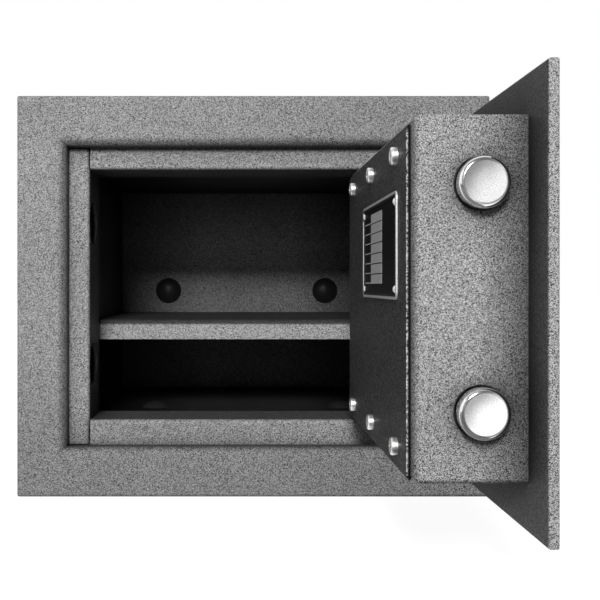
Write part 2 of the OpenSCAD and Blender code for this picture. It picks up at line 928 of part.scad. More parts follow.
// Blank data plate with a raised rim and plain fields
module data_plate() {
    field_x0 = label_x0 + field_x_share * label_w;
    field_w = field_w_share * label_w;
    field_z0 = label_z0 + field_z_share * label_h;
    pitch = field_h_share * label_h / field_count;
    face_y = cover_y1 + label_floor_t;
    color("silver")
        on_door()
            difference() {
                union() {
                    along_y(cover_y1, face_y)
                        round_rect(label_x0, label_z0, label_x1, label_z1, label_r);
                    along_y(cover_y1, cover_y1 + label_t)
                        difference() {
                            round_rect(label_x0, label_z0, label_x1, label_z1, label_r);
                            round_rect(label_x0 + label_rim, label_z0 + label_rim,
                                       label_x1 - label_rim, label_z1 - label_rim,
                                       label_r - label_rim);
                        }
                    for (i = [0 : field_count - 1])
                        along_y(cover_y1, face_y + field_t) {
                            rect(field_x0, field_z0 + i * pitch,
                                 field_x0 + field_w, field_z0 + (i + field_fill_share) * pitch);
                            rect(field_x0 + field_w, field_z0 + i * pitch,
                                 field_x0 + field_w + rule_w_share * label_w,
                                 field_z0 + i * pitch + rule_h_share * label_h);
                        }
                }
                for (p = rivet_places())
                    rod_y(p[0], p[1], rivet_d / 4, cover_y1 - overrun, cover_y1 + label_t + overrun);
            }
}

// Domed rivets at the data plate's corners
module data_plate_rivets() {
    color("silver")
        on_door()
            for (p = rivet_places()) {
                translate([p[0], cover_y1 + label_floor_t, p[1]])
                    rotate([-90, 0, 0])
                        dome(rivet_d / 2, rivet_head_h);
                rod_y(p[0], p[1], rivet_d / 4, cover_y1, cover_y1 + label_floor_t);
            }
}

// Rings behind the lock face that guide the bolts
module bolt_guides() {
    color("darkslategray")
        on_door()
            for (z = bolt_zs)
                along_x(box_x0 + box_t, box_x0 + box_t + guide_len)
                    translate([bolt_depth, z])
                        difference() {
                            circle(guide_r);
                            circle(bolt_r + run_fit);
                        }
}

// Blocks on the door plate that the carriage slides over
module carriage_supports() {
    color("darkslategray")
        on_door()
            for (z = bolt_zs)
                block(bolt_tail_x + bar_t / 2 - bolt_travel / 2 - support_w / 2, door_t, z - support_h / 2,
                      bolt_tail_x + bar_t / 2 - bolt_travel / 2 + support_w / 2, bar_y0 - slide_gap,
                      z + support_h / 2);
}

// Flanged bush in the door plate that the spindle turns in
module spindle_bush() {
    color("goldenrod")
        on_door()
            difference() {
                union() {
                    rod_y(spindle_x, spindle_z, spindle_r + bush_wall, 0, door_t);
                    rod_y(spindle_x, spindle_z, spindle_r + bush_wall + bush_flange,
                          door_t, door_t + bush_flange_t);
                }
                rod_y(spindle_x, spindle_z, spindle_r + run_fit,
                      -overrun, door_t + bush_flange_t + overrun);
            }
}

// Ring on the door's front round the knob
module knob_rosette() {
    color("silver")
        on_door()
            difference() {
                rod_y(spindle_x, spindle_z, rosette_r, -rosette_t, 0);
                rod_y(spindle_x, spindle_z, spindle_r + bush_wall, -rosette_t - overrun, overrun);
            }
}

// Case of the key lock
module lock_case() {
    room_half_h = lock_travel / 2 + lock_body_h + lock_tip_gap;
    color("darkgray")
        on_door()
            difference() {
                block(key_x - case_half_w, door_t, key_z - case_half_h,
                      key_x + case_half_w, case_y1, key_z + case_half_h);
                block(key_x - lock_body_half - slide_gap, lock_y0 - slide_gap, key_z - room_half_h,
                      key_x + lock_body_half + slide_gap, lock_y1 + slide_gap, key_z + room_half_h);
                block(key_x - lock_stem_w / 2 - slide_gap, lock_y0 - slide_gap, key_z,
                      key_x + lock_stem_w / 2 + slide_gap, lock_y1 + slide_gap,
                      key_z + case_half_h + overrun);
                rod_y(key_x, key_z, key_plug_r + run_fit, door_t - overrun, lock_y0);
                for (s = [-1, 1])
                    rod_y(key_x + s * (case_half_w - case_screw_in),
                          key_z + s * (case_half_h - case_screw_in),
                          case_screw_r, door_t - overrun, case_y1 + overrun);
            }
}

// Screws that fix the lock case to the door plate
module lock_case_screws() {
    color("silver")
        on_door()
            for (s = [-1, 1]) {
                x = key_x + s * (case_half_w - case_screw_in);
                z = key_z + s * (case_half_h - case_screw_in);
                translate([x, case_y1, z])
                    rotate([-90, 0, 0])
                        pan_head(case_screw_head_r, case_screw_head_h, case_screw_head_h / 2,
                                 recess_w, recess_len, recess_depth);
                rod_y(x, z, case_screw_r, door_t - case_screw_bite, case_y1);
            }
}

// Ring on the door's front round the keyhole
module key_escutcheon() {
    color("silver")
        on_door()
            difference() {
                rod_y(key_x, key_z, escutcheon_r, -escutcheon_t, 0);
                rod_y(key_x, key_z, key_plug_r + run_fit, -escutcheon_t - overrun, overrun);
                rod_y(key_x, key_z + swing_pivot_up, swing_pin_r, -escutcheon_t - overrun, overrun);
            }
}

// Rivet that the keyhole cover swings on
module keyhole_cover_pivot() {
    head_y = -escutcheon_t - 2 * swing_gap - swing_t;
    color("silver")
        on_door() {
            rod_y(key_x, key_z + swing_pivot_up, swing_pin_r, head_y, 0);
            rod_y(key_x, key_z + swing_pivot_up, swing_head_r, head_y - swing_head_h, head_y);
        }
}

// Round bolt along X with a rounded end, bored for its cap screw
module bolt(z) {
    color("gainsboro")
        on_door()
            difference() {
                translate([bolt_tail_x, bolt_depth, z])
                    rotate([0, -90, 0])
                        rotate_extrude() {
                            square([bolt_r, bolt_len - bolt_tip_r]);
                            square([bolt_r - bolt_tip_r, bolt_len]);
                            translate([bolt_r - bolt_tip_r, bolt_len - bolt_tip_r])
                                intersection() {
                                    circle(bolt_tip_r);
                                    square([bolt_tip_r, bolt_tip_r]);
                                }
                        }
                rod_x(bolt_depth, z, cap_thread_r, bolt_tail_x - cap_reach, bolt_tail_x + overrun);
            }
}

// Upper bolt
module upper_bolt() {
    bolt(bolt_zs[1]);
}

// Lower bolt
module lower_bolt() {
    bolt(bolt_zs[0]);
}

// Carriage: a bar across both bolts and a tab with the crank slot and the lock notches
module bolt_carriage() {
    bar_x1 = bolt_tail_x + bar_t;
    pin_x = spindle_x + bolt_travel / 2;
    slot_half = crank_pin_r + slide_gap;
    notch_half = lock_stem_w / 2 + slide_gap;
    tab_z0 = spindle_z - tab_drop;
    color("darkgray")
        on_door()
            difference() {
                union() {
                    block(bolt_tail_x, bar_y0, bolt_zs[0] - bar_over,
                          bar_x1, bolt_depth + bar_half, bolt_zs[1] + bar_over);
                    block(bar_x1 - bar_t / 2, tab_y0, tab_z0,
                          spindle_x + tab_over, tab_y1, spindle_z + tab_rise);
                }
                along_y(tab_y0 - overrun, tab_y1 + overrun)
                    rect(pin_x - slot_half, spindle_z + crank_r * cos(crank_half_turn) - slot_half,
                         pin_x + slot_half, spindle_z + crank_r + slot_half);
                for (x = [key_x, key_x + bolt_travel])
                    block(x - notch_half, tab_y0 - overrun, tab_z0 - overrun,
                          x + notch_half, tab_y1 + overrun, tab_z0 + lock_travel);
                for (z = bolt_zs)
                    rod_x(bolt_depth, z, cap_thread_r, bolt_tail_x - overrun, bar_x1 + overrun);
            }
}

// Cap screws that fix the bolts to the carriage
module bolt_cap_screws() {
    bar_x1 = bolt_tail_x + bar_t;
    socket_r = cap_thread_r * cos(crank_half_turn);
    color("black")
        on_door()
            for (z = bolt_zs)
                difference() {
                    union() {
                        rod_x(bolt_depth, z, cap_thread_r, bolt_tail_x - cap_reach, bar_x1);
                        rod_x(bolt_depth, z, cap_r, bar_x1, bar_x1 + cap_h);
                    }
                    along_x(bar_x1 + cap_h / 2, bar_x1 + cap_h + overrun)
                        translate([bolt_depth, z]) circle(socket_r, $fn = 6);
                }
}

// Knob on the front of the door, with finger flutes and a pointer groove
module knob() {
    color("silver")
        on_door()
            translate([spindle_x, -rosette_t - knob_gap, spindle_z])
                rotate([90, 0, 0])
                    difference() {
                        rotate_extrude() {
                            square([knob_neck_r, knob_neck_h]);
                            translate([0, knob_neck_h])
                                square([knob_r, knob_len - knob_neck_h - knob_edge_r]);
                            translate([0, knob_neck_h])
                                square([knob_r - knob_edge_r, knob_len - knob_neck_h]);
                            translate([knob_r - knob_edge_r, knob_len - knob_edge_r])
                                intersection() {
                                    circle(knob_edge_r);
                                    square([knob_edge_r, knob_edge_r]);
                                }
                        }
                        for (i = [0 : flute_count - 1])
                            rotate([0, 0, (i + 1 / 2) * 360 / flute_count])
                                translate([knob_r + flute_r - flute_in, 0, knob_neck_h - overrun])
                                    cylinder(h = knob_len + overrun, r = flute_r);
                        translate([-mark_w / 2, knob_neck_r / 2, knob_len - mark_d])
                            cube([mark_w, knob_r, mark_d + overrun]);
                        translate([0, 0, -overrun])
                            cylinder(h = knob_bore_share * knob_len + overrun, r = spindle_r);
                    }
}

// Spindle from the knob to the crank, grooved for its clip
module spindle() {
    color("silver")
        on_door()
            difference() {
                rod_y(spindle_x, spindle_z, spindle_r,
                      -rosette_t - knob_gap - knob_bore_share * knob_len, spindle_end);
                along_y(arm_y1, arm_y1 + clip_t)
                    translate([spindle_x, spindle_z])
                        difference() {
                            circle(spindle_r + overrun);
                            circle(spindle_r - clip_groove);
                        }
            }
}

// Turns the crank's pieces to their withdrawn place, seen from the front
module crank_place() {
    translate([spindle_x, spindle_z]) rotate(-crank_half_turn) children();
}

// Crank arm on the spindle
module crank_arm() {
    boss_r = crank_pin_r + arm_wall;
    color("darkgray")
        on_door()
            along_y(arm_y0, arm_y1)
                crank_place()
                    difference() {
                        union() {
                            circle(spindle_r + arm_wall);
                            rect(-boss_r, 0, boss_r, crank_r);
                            translate([0, crank_r]) circle(boss_r);
                        }
                        circle(spindle_r);
                        translate([0, crank_r]) circle(crank_pin_r);
                    }
}

// Crank pin that runs in the carriage's slot
module crank_pin() {
    color("silver")
        on_door()
            along_y(arm_y0, tab_y1 + crank_pin_over)
                crank_place()
                    translate([0, crank_r]) circle(crank_pin_r);
}

// Retaining clip in the spindle's groove
module spindle_clip() {
    color("black")
        on_door()
            along_y(arm_y1, arm_y1 + clip_t)
                translate([spindle_x, spindle_z])
                    difference() {
                        circle(spindle_r - clip_groove + clip_w);
                        circle(spindle_r - clip_groove);
                    }
}

// Key plug with its keyhole in front and its driving pin behind
module key_plug() {
    pin_side = key_arm * cos(key_half_turn);
    pin_drop = key_arm * sin(key_half_turn);
    front_y = plug_recess - escutcheon_t;
    color("goldenrod")
        on_door()
            difference() {
                union() {
                    rod_y(key_x, key_z, key_plug_r, front_y, lock_y0 - slide_gap);
                    rod_y(key_x + pin_side, key_z - pin_drop, key_pin_r, lock_y0 - 2 * slide_gap, lock_y1);
                }
                block(key_x - keyhole_w / 2, front_y - overrun, key_z - keyhole_h / 2,
                      key_x + keyhole_w / 2, front_y + keyhole_depth, key_z + keyhole_h / 2);
            }
}

// Lock bolt that rises into a notch of the carriage
module lock_bolt() {
    low_z = key_z - lock_travel / 2;
    slot_half = key_pin_r + slide_gap;
    color("silver")
        on_door()
            along_y(lock_y0, lock_y1)
                difference() {
                    union() {
                        rect(key_x - lock_body_half, low_z - lock_body_h,
                             key_x + lock_body_half, low_z + lock_body_h);
                        rect(key_x - lock_stem_w / 2, low_z,
                             key_x + lock_stem_w / 2, spindle_z - tab_drop - lock_tip_gap);
                    }
                    rect(key_x + key_arm * cos(key_half_turn) - slot_half, low_z - slot_half,
                         key_x + key_arm + slot_half, low_z + slot_half);
                }
}

// Cover that swings aside from the keyhole
module keyhole_cover() {
    outer_y = -escutcheon_t - swing_gap - swing_t;
    color("silver")
        on_door()
            along_y(outer_y, outer_y + swing_t)
                translate([key_x, key_z])
                    difference() {
                        union() {
                            circle(swing_r);
                            rect(-swing_ear_r, 0, swing_ear_r, swing_pivot_up);
                            translate([0, swing_pivot_up]) circle(swing_ear_r);
                        }
                        translate([0, swing_pivot_up]) circle(swing_pin_r + run_fit);
                    }
}

outer_casing();
back_panel();
left_stile();
right_stile();
top_rail();
bottom_rail();
inner_liner();
wall_fill();
shelf();
shelf_brackets();
back_anchor_sleeves();
base_anchor_sleeves();
back_plugs();
floor_plugs();
hinge_blocks();
hinge_washers();
door_plate();
hinge_lugs();
hinge_pins();
boltwork_box();
cover_plate();
cover_screws();
cover_nuts();
data_plate();
data_plate_rivets();
bolt_guides();
carriage_supports();
spindle_bush();
knob_rosette();
lock_case();
lock_case_screws();
key_escutcheon();
keyhole_cover_pivot();
upper_bolt();
lower_bolt();
bolt_carriage();
bolt_cap_screws();
knob();
spindle();
crank_arm();
crank_pin();
spindle_clip();
key_plug();
lock_bolt();
keyhole_cover();
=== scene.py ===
import math

import bpy
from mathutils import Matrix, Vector


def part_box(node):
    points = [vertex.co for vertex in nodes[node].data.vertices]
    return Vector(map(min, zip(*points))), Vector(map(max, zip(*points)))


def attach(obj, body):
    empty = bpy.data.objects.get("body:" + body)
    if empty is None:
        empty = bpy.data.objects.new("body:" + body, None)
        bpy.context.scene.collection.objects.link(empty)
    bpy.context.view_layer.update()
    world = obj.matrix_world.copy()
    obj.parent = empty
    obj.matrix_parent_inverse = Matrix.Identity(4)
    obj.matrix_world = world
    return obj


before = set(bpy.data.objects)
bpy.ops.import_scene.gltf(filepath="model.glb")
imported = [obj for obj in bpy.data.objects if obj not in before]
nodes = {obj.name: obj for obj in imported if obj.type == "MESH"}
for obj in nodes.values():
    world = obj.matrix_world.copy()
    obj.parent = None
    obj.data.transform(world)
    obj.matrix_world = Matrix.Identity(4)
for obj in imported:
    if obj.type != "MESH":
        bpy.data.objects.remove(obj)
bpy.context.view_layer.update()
MM = 0.001
X, Y, Z = range(3)


# Values. Lengths are in metres; levels, shares and tones are plain factors.

# The coat's grain, and how deep it stands.
GRAIN = 0.34 * MM
DOOR_GRAIN = 0.29 * MM
COVER_GRAIN = 0.8 * MM
FILLING_GRAIN = 2 * MM
COAT_DEPTH = 0.04 * MM
SMOOTH_DEPTH = 0.02 * MM
FILLING_DEPTH = 0.2 * MM
PIP_SHARE = 0.7  # of the grain is hard pips, and the rest is soft noise
SOFT_SIZE = 0.6  # size of that noise beside the pips
CLOUD_SIZE = 70 * MM  # slow drift of the tone over a sheet
CLOUD_TONES = (0.97, 1.03)
COAT_SPECULAR = 0.15

# How far a coat looks round for hollows, to paint shade into them.
HOLLOW_SHADE_REACH = 28 * MM
LINER_SHADE_REACH = 90 * MM
HOLLOW_SHADE_SAMPLES = 8

# Noise lies mostly between these two values.
NOISE_LOW = 0.3
NOISE_HIGH = 0.7

# Soft steps of painted shade in the tone: axis, from mm, to mm, tone before, tone after.
# Painted shade on the border: darker towards its bottom, its top and its right side.
BORDER_SHADE_STEPS = ((Z, 0, 150, 0.79, 1.0), (Z, 250, 270, 1.0, 0.94), (X, -60, 110, 1.0, 0.84))
# Painted shade in the liner: darker on its floor, its ceiling and its left side.
LINER_SHADE_STEPS = ((Z, 54, 51, 1.0, 0.22), (Z, 250, 251.8, 1.0, 0.26), (X, -128.5, -130.3, 1.0, 0.38))
# Painted shade on the frame round the opening: its returns, the top rail's face, the lip's shadow
# at the top rail's upper edge, and the bottom rail.
SEAT_SHADE_STEPS = (
    (Y, -139.5, -135, 1.0, 0.3),
    (Z, 246, 249, 1.0, 0.83),
    (Z, 258.9, 254.2, 0.5, 1.0),
    (Z, 54, 60, 0.86, 1.0),
)
# Painted shade on the shelf's top, darker than its front lip.
SHELF_SHADE_STEPS = ((Z, 124, 126, 1.0, 0.125),)
# Painted shade on the box's rounded edge by the cover.
BOX_SHADE_STEPS = ((X, 75.5, 70.5, 1.0, 0.3),)

# Painted shade across the rolled lip round the rebate: middle, half width, top, floor and front of
# the rebate.
REBATE_X = -1.6 * MM
REBATE_HALF = 136.4 * MM
REBATE_TOP = 259.7 * MM
REBATE_FLOOR = 40 * MM  # the lower lip looks up, and its painted shade falls off less
FRONT_Y = -144 * MM
LIP_NEAR = 2.5 * MM
LIP_FAR = 8 * MM
LIP_EDGE = 1 * MM
LIP_SHADE = 0.5

# The liner's back wall: its plane, the shelf's level, and its painted light, tones above 1 at
# these heights.
BACK_Y = 112.5 * MM
SHELF_Z = 120 * MM
BACK_LIGHT_HIGH = (130 * MM, 168 * MM, 2.6, 1.25)
BACK_LIGHT_TOP = (195 * MM, 225 * MM, 0.0, 0.3)
BACK_LIGHT_LOW = (50 * MM, 90 * MM, 1.6, 0.5)

# Painted shade on the door plate's inner face, from its near edge on, and its tone low and high.
PLATE_FACE = (127.3 * MM, 126.6 * MM)
PLATE_HEIGHTS = (205 * MM, 245 * MM)
PLATE_SHADE_SHARE = 0.365
PLATE_TOP_SHADE_SHARE = PLATE_SHADE_SHARE * 0.7

# Painted shade on the box's bottom edge and on its lower part.
BOX_ROLL = 2.4 * MM
BOX_ROLL_SHADE = 0.2
BOX_MIDDLE = 170 * MM
BOX_LOW_SHADE = 0.93

# Painted shade on the cover's faces beside its bright cut edges.
COVER_SHADE_SHARE = 0.138
COVER_EDGE = (0.3 * MM, 0.1 * MM)

# The bolts: axes, radius of the painted dark line of shade at the rim of each end, and how the
# painted reflection that darkens each end runs.
BOLT_X = 103.8 * MM
BOLT_LOW = 96.1 * MM
BOLT_HIGH = 205.3 * MM
BOLT_DISC = 10.3 * MM
BOLT_END = 0.4 * MM
REFLECTION_ACROSS = (-13 * MM, 8 * MM, 0.65, 0.0)
REFLECTION_OUTWARD = (0.0, 9 * MM, 0.5, 1.0)
RIM_SHADE_LINE = (0.0, 0.8 * MM, 0.8, 0.0)
RIM_SHADE_FADE = (0.0, 10 * MM, 0.15, 1.0)
CHROME = 0.95
CHROME_ROUGH = (0.1, 0.17)
CHROME_TONES = (0.86, 1.08)
WAVE_SIZE = 9 * MM
WAVE_DEPTH = 0.15 * MM
SCRATCH_DEPTH = 0.004 * MM

# Plain metals.
METAL_GRAIN = 0.4 * MM
METAL_DEPTH = 0.01 * MM
METAL_TONES = (0.92, 1.05)
METAL_ROUGH_SPREAD = 0.06
FINE = 0.5 * MM

# The data plate: width of its rim by axis, its end rim, and the planes of its ground and rim.
LABEL_RIMS = ((Y, 2.1 * MM), (Z, 1.5 * MM))
LABEL_RIM = 2.3 * MM
LABEL_GROUND_X = 68.5 * MM
LABEL_RIM_X = 68.3 * MM
RIM_LEVEL = 0.95
RIM_TONES = (0.7, 1.05)
RIM_METALLIC = 0.5
FIELD_LEVEL = 0.85
FIELD_TONES = (0.7, 1.1)
ENAMEL_LEVEL = 0.012
ENAMEL_TONES = (0.5, 1.5)
LABEL_ROUGH = (0.3, 0.45)
LABEL_SPECULAR = 0.06

# The black bead of painted shade in the gap between the cover and the box.
GAP_SHADE_FORWARD = 0.6 * MM
GAP_SHADE_OUT = 0.75 * MM
GAP_SHADE_THICK = 1.7 * MM
GAP_SHADE_CORNER = 1.6 * MM
CORNER_STEPS = 6
BEAD_STEPS = 4

# Floor, world and light.
FLOOR_SIZE = 14
FLOOR_GREY = 0.3
FLOOR_ROUGH = 0.9
GLOW = (0.4, 1.2, 0.92, 1.0)  # from near to far of the object, and its strength there
BACKDROP_Y = -0.36  # what the camera sees of the floor lies behind this
BACKDROP_X = 0.15  # and metal sees it also on this side
AMBIENT = 0.03
FRONT_WHITE = (0.02, 0.14, 0.45, 1.0)  # the world in front of the object, as metal sees it
KEY_LIGHT = dict(place=(-0.28, -2.4, 1.25), aim=(0.0, -0.15, 0.15), size=(0.5, 0.7), power=55)

# Camera, as solved from the photograph.
LENS = 53.495
SENSOR = 36
SHIFT = (0.1081, -0.02511)
CLIP_START = 0.01
CAMERA_PLACE = (-0.01353, -0.80882, 0.15689)
CAMERA_TURN = (math.pi / 2, 0, 0)

CABINET = (
    "outer_casing", "back_panel", "left_stile", "right_stile", "top_rail", "bottom_rail",
    "inner_liner", "wall_fill", "shelf", "shelf_brackets", "back_anchor_sleeves",
    "base_anchor_sleeves", "back_plugs", "floor_plugs", "hinge_blocks", "hinge_washers",
)


class Tree:
    """Adds and links the nodes of one node tree."""

    def __init__(self, tree, coordinates):
        self.tree = tree
        self.point = self.add("ShaderNodeTexCoord").outputs[coordinates]

    def add(self, kind, **values):
        node = self.tree.nodes.new(kind)
        for key, value in values.items():
            setattr(node, key, value)
        return node

    def link(self, source, target):
        """Links a socket, or sets a plain value."""
        if hasattr(source, "is_linked"):
            self.tree.links.new(source, target)
        else:
            target.default_value = source

    def math(self, operation, a, b=0.0, c=0.0):
        node = self.add("ShaderNodeMath", operation=operation)
        for socket, value in zip(node.inputs, (a, b, c)):
            self.link(value, socket)
        return node.outputs[0]

    def product(self, first, *others):
        for other in others:
            first = self.math("MULTIPLY", first, other)
        return first

    def largest(self, first, *others):
        for other in others:
            first = self.math("MAXIMUM", first, other)
        return first

    def distance(self, a, b):
        return self.math("ABSOLUTE", self.math("SUBTRACT", a, b))

    def rest(self, share):
        return self.math("SUBTRACT", 1.0, share)

    def span(self, value, low, high, out_low=0.0, out_high=1.0, smooth=True):
        """Runs from out_low to out_high while value runs from low to high."""
        kind = "SMOOTHSTEP" if smooth else "LINEAR"
        node = self.add("ShaderNodeMapRange", interpolation_type=kind)
        for socket, given in zip(node.inputs, (value, low, high, out_low, out_high)):
            self.link(given, socket)
        return node.outputs[0]

    def noise(self, size, detail=2.0, rough=0.5):
        """Noise whose features measure about size metres."""
        node = self.add("ShaderNodeTexNoise", noise_dimensions="3D")
        self.link(self.point, node.inputs["Vector"])
        self.link(1 / size, node.inputs["Scale"])
        self.link(detail, node.inputs["Detail"])
        self.link(rough, node.inputs["Roughness"])
        return node.outputs[0]

    def spread(self, noise, low, high, smooth=True):
        """Spreads a noise over low to high."""
        return self.span(noise, NOISE_LOW, NOISE_HIGH, low, high, smooth)

    def mix(self, share, a, b):
        """Mixes two colours; inputs 6 and 7 of the node are its colour sockets."""
        node = self.add("ShaderNodeMix", data_type="RGBA")
        for index, given in ((0, share), (6, a), (7, b)):
            self.link(given, node.inputs[index])
        return node.outputs[2]

    def axes(self):
        node = self.add("ShaderNodeSeparateXYZ")
        self.link(self.point, node.inputs[0])
        return node.outputs

    def scaled(self, colour, factor):
        node = self.add("ShaderNodeVectorMath", operation="SCALE")
        self.link(colour[:3], node.inputs[0])
        self.link(factor, node.inputs["Scale"])
        return node.outputs[0]

    def bump(self, height, depth, normal=None):
        node = self.add("ShaderNodeBump")
        self.link(height, node.inputs["Height"])
        self.link(depth, node.inputs["Distance"])
        self.link(1.0, node.inputs["Strength"])
        if normal is not None:
            self.link(normal, node.inputs["Normal"])
        return node.outputs[0]

    def switch(self, share, a, b, target):
        """Sends shader a or b to the target, by share."""
        node = self.add("ShaderNodeMixShader")
        for socket, given in zip(node.inputs, (share, a, b)):
            self.link(given, socket)
        self.link(node.outputs[0], target)


class Surface(Tree):
    """A new material with a Principled surface."""

    def __init__(self, name):
        self.material = bpy.data.materials.new(name)
        self.material.use_nodes = True
        super().__init__(self.material.node_tree, "Object")
        self.shader = self.tree.nodes["Principled BSDF"]
        self.output = self.tree.nodes["Material Output"]

    def give(self, **sockets):
        for key, value in sockets.items():
            self.link(value, self.shader.inputs[key.replace("_", " ")])


def grey(value, warmth=0.0):
    return (value * (1 + warmth), value, value * (1 - warmth), 1.0)


# Painted light and shade by place. Each of these takes the surface and gives a factor for its
# tone.


def stepped(steps):
    """Product of soft steps of painted shade along the axes."""

    def factor(s):
        axes = s.axes()
        return s.product(*(
            s.span(axes[axis], first * MM, last * MM, before, after)
            for axis, first, last, before, after in steps
        ))

    return factor


def on_casing(s):
    """The border's tone, with painted shade darker towards its bottom, top and right side, and
    painted shade across the rolled lip round the rebate.
    """
    axes = s.axes()
    aside = s.math("SUBTRACT", s.distance(axes[X], REBATE_X), REBATE_HALF)
    over = s.math("SUBTRACT", axes[Z], REBATE_TOP)
    under = s.math("SUBTRACT", REBATE_FLOOR, axes[Z])
    off = s.largest(aside, over, under)
    front = s.math("LESS_THAN", axes[Y], FRONT_Y)
    # Painted shade across the rolled lip.
    painted_lip_shade = s.span(off, LIP_NEAR, LIP_FAR, LIP_SHADE, 0.0)
    outside = s.span(off, -LIP_EDGE, 0.0)
    return s.product(stepped(BORDER_SHADE_STEPS)(s), s.rest(s.product(front, painted_lip_shade, outside)))


def on_liner(s):
    """Painted shade on the liner's floor, ceiling and left side, and painted light on its back
    wall, above and below the shelf.
    """
    axes = s.axes()
    back = s.math("GREATER_THAN", axes[Y], BACK_Y)
    above = s.math("GREATER_THAN", axes[Z], SHELF_Z)
    high = s.math(
        "SUBTRACT", s.span(axes[Z], *BACK_LIGHT_HIGH, smooth=False), s.span(axes[Z], *BACK_LIGHT_TOP)
    )
    low = s.span(axes[Z], *BACK_LIGHT_LOW)
    # Painted light on the back wall.
    painted_back_light = s.math("ADD", s.product(above, high), s.product(s.rest(above), low))
    return s.product(stepped(LINER_SHADE_STEPS)(s), s.math("MULTIPLY_ADD", back, painted_back_light, 1.0))


def on_plate(s):
    """Painted shade on the door plate's inner face, darker at its top."""
    axes = s.axes()
    share = s.span(axes[Z], *PLATE_HEIGHTS, PLATE_SHADE_SHARE, PLATE_TOP_SHADE_SHARE)
    return s.span(axes[X], *PLATE_FACE, 1.0, share)


def on_box(s):
    """Painted shade round the box's edge by the cover, at its bottom edge and on its lower part.
    """
    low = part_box("boltwork_box")[0][2]
    height = s.axes()[Z]
    edge = s.span(height, low, low + BOX_ROLL, BOX_ROLL_SHADE, 1.0)
    part = s.span(height, low, BOX_MIDDLE, BOX_LOW_SHADE, 1.0)
    return s.product(edge, part, stepped(BOX_SHADE_STEPS)(s))


def on_cover(s):
    """Full tone on the cover's two upright edges, and painted shade, its share, on the faces."""
    low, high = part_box("cover_plate")
    half = (high[Y] - low[Y]) / 2
    off = s.distance(s.axes()[Y], (low[Y] + high[Y]) / 2)
    first, last = COVER_EDGE
    return s.span(off, half - first, half - last, COVER_SHADE_SHARE, 1.0)


# Materials.


def coat(name, level, contrast=0.95, rough=0.55, depth=COAT_DEPTH, hollow_shade=0.0, painted_light_and_shade_at=None,
         warmth=0.0, size=GRAIN, reach=HOLLOW_SHADE_REACH):
    """Sprayed textured coat: salt-and-pepper grain in tone and height, with shade painted into the
    hollows, and painted light and shade by place where given.
    """
    s = Surface(name)
    pips = s.add("ShaderNodeTexVoronoi", feature="F1")
    s.link(s.point, pips.inputs["Vector"])
    s.link(1 / size, pips.inputs["Scale"])
    pick = s.add("ShaderNodeSeparateColor")
    s.link(pips.outputs["Color"], pick.inputs[0])
    soft = s.noise(size * SOFT_SIZE, 1.0, 0.6)
    grain = s.math("ADD", s.product(pick.outputs[0], PIP_SHARE), s.product(soft, 1 - PIP_SHARE))
    tone = s.product(
        s.spread(grain, 1 - contrast, 1 + contrast, smooth=False),
        s.spread(s.noise(CLOUD_SIZE), *CLOUD_TONES),
    )
    # The occlusion node paints shade into the hollows.
    if hollow_shade:
        shade = s.add("ShaderNodeAmbientOcclusion", samples=HOLLOW_SHADE_SAMPLES)
        s.link(reach, shade.inputs["Distance"])
        tone = s.product(tone, s.math("POWER", shade.outputs["AO"], hollow_shade))
    if painted_light_and_shade_at:
        tone = s.product(tone, painted_light_and_shade_at(s))
    s.give(Base_Color=s.scaled(grey(level, warmth), tone))
    s.give(Roughness=rough, Specular_IOR_Level=COAT_SPECULAR)
    s.give(Normal=s.bump(grain, depth))
    return s.material


def metal(name, colour, rough):
    """Plain metal with a fine grain."""
    s = Surface(name)
    fine = s.noise(METAL_GRAIN, 3.0, 0.6)
    low, high = rough - METAL_ROUGH_SPREAD, rough + METAL_ROUGH_SPREAD
    s.give(Metallic=1.0, Roughness=s.spread(fine, low, high))
    s.give(Base_Color=s.scaled(colour, s.spread(fine, *METAL_TONES)))
    s.give(Normal=s.bump(fine, METAL_DEPTH))
    return s.material


def chromed():
    """Bright plated steel, with a painted reflection that darkens the upper left of each end, and
    a painted dark line of shade at its rim, weaker at the upper left.
    """
    s = Surface("bolt_chrome")
    wave = s.noise(WAVE_SIZE, 1.0)
    fine = s.noise(FINE)
    axes = s.axes()
    upper = s.math("GREATER_THAN", axes[Z], (BOLT_LOW + BOLT_HIGH) / 2)
    axis_z = s.math("MULTIPLY_ADD", upper, BOLT_HIGH - BOLT_LOW, BOLT_LOW)
    across = s.math("SUBTRACT", axes[X], BOLT_X)
    above = s.math("SUBTRACT", axes[Z], axis_z)
    squares = s.math("ADD", s.math("POWER", across, 2), s.math("POWER", above, 2))
    out = s.math("SQRT", squares)
    toward = s.math("SUBTRACT", across, above)
    end = s.math("LESS_THAN", axes[Y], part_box("upper_bolt")[0][1] + BOLT_END)
    # Painted reflection, darker at the upper left of each end, and a painted shade line at the
    # rim.
    painted_reflection = s.product(end, s.span(toward, *REFLECTION_ACROSS), s.span(out, *REFLECTION_OUTWARD))
    line = s.product(s.span(s.distance(out, BOLT_DISC), *RIM_SHADE_LINE), s.span(toward, *RIM_SHADE_FADE))
    shade = s.product(s.rest(painted_reflection), s.rest(line), s.spread(fine, *CHROME_TONES))
    s.give(Metallic=1.0, Base_Color=s.scaled(grey(CHROME), shade))
    s.give(Roughness=s.spread(wave, *CHROME_ROUGH))
    s.give(Normal=s.bump(fine, SCRATCH_DEPTH, normal=s.bump(wave, WAVE_DEPTH)))
    return s.material


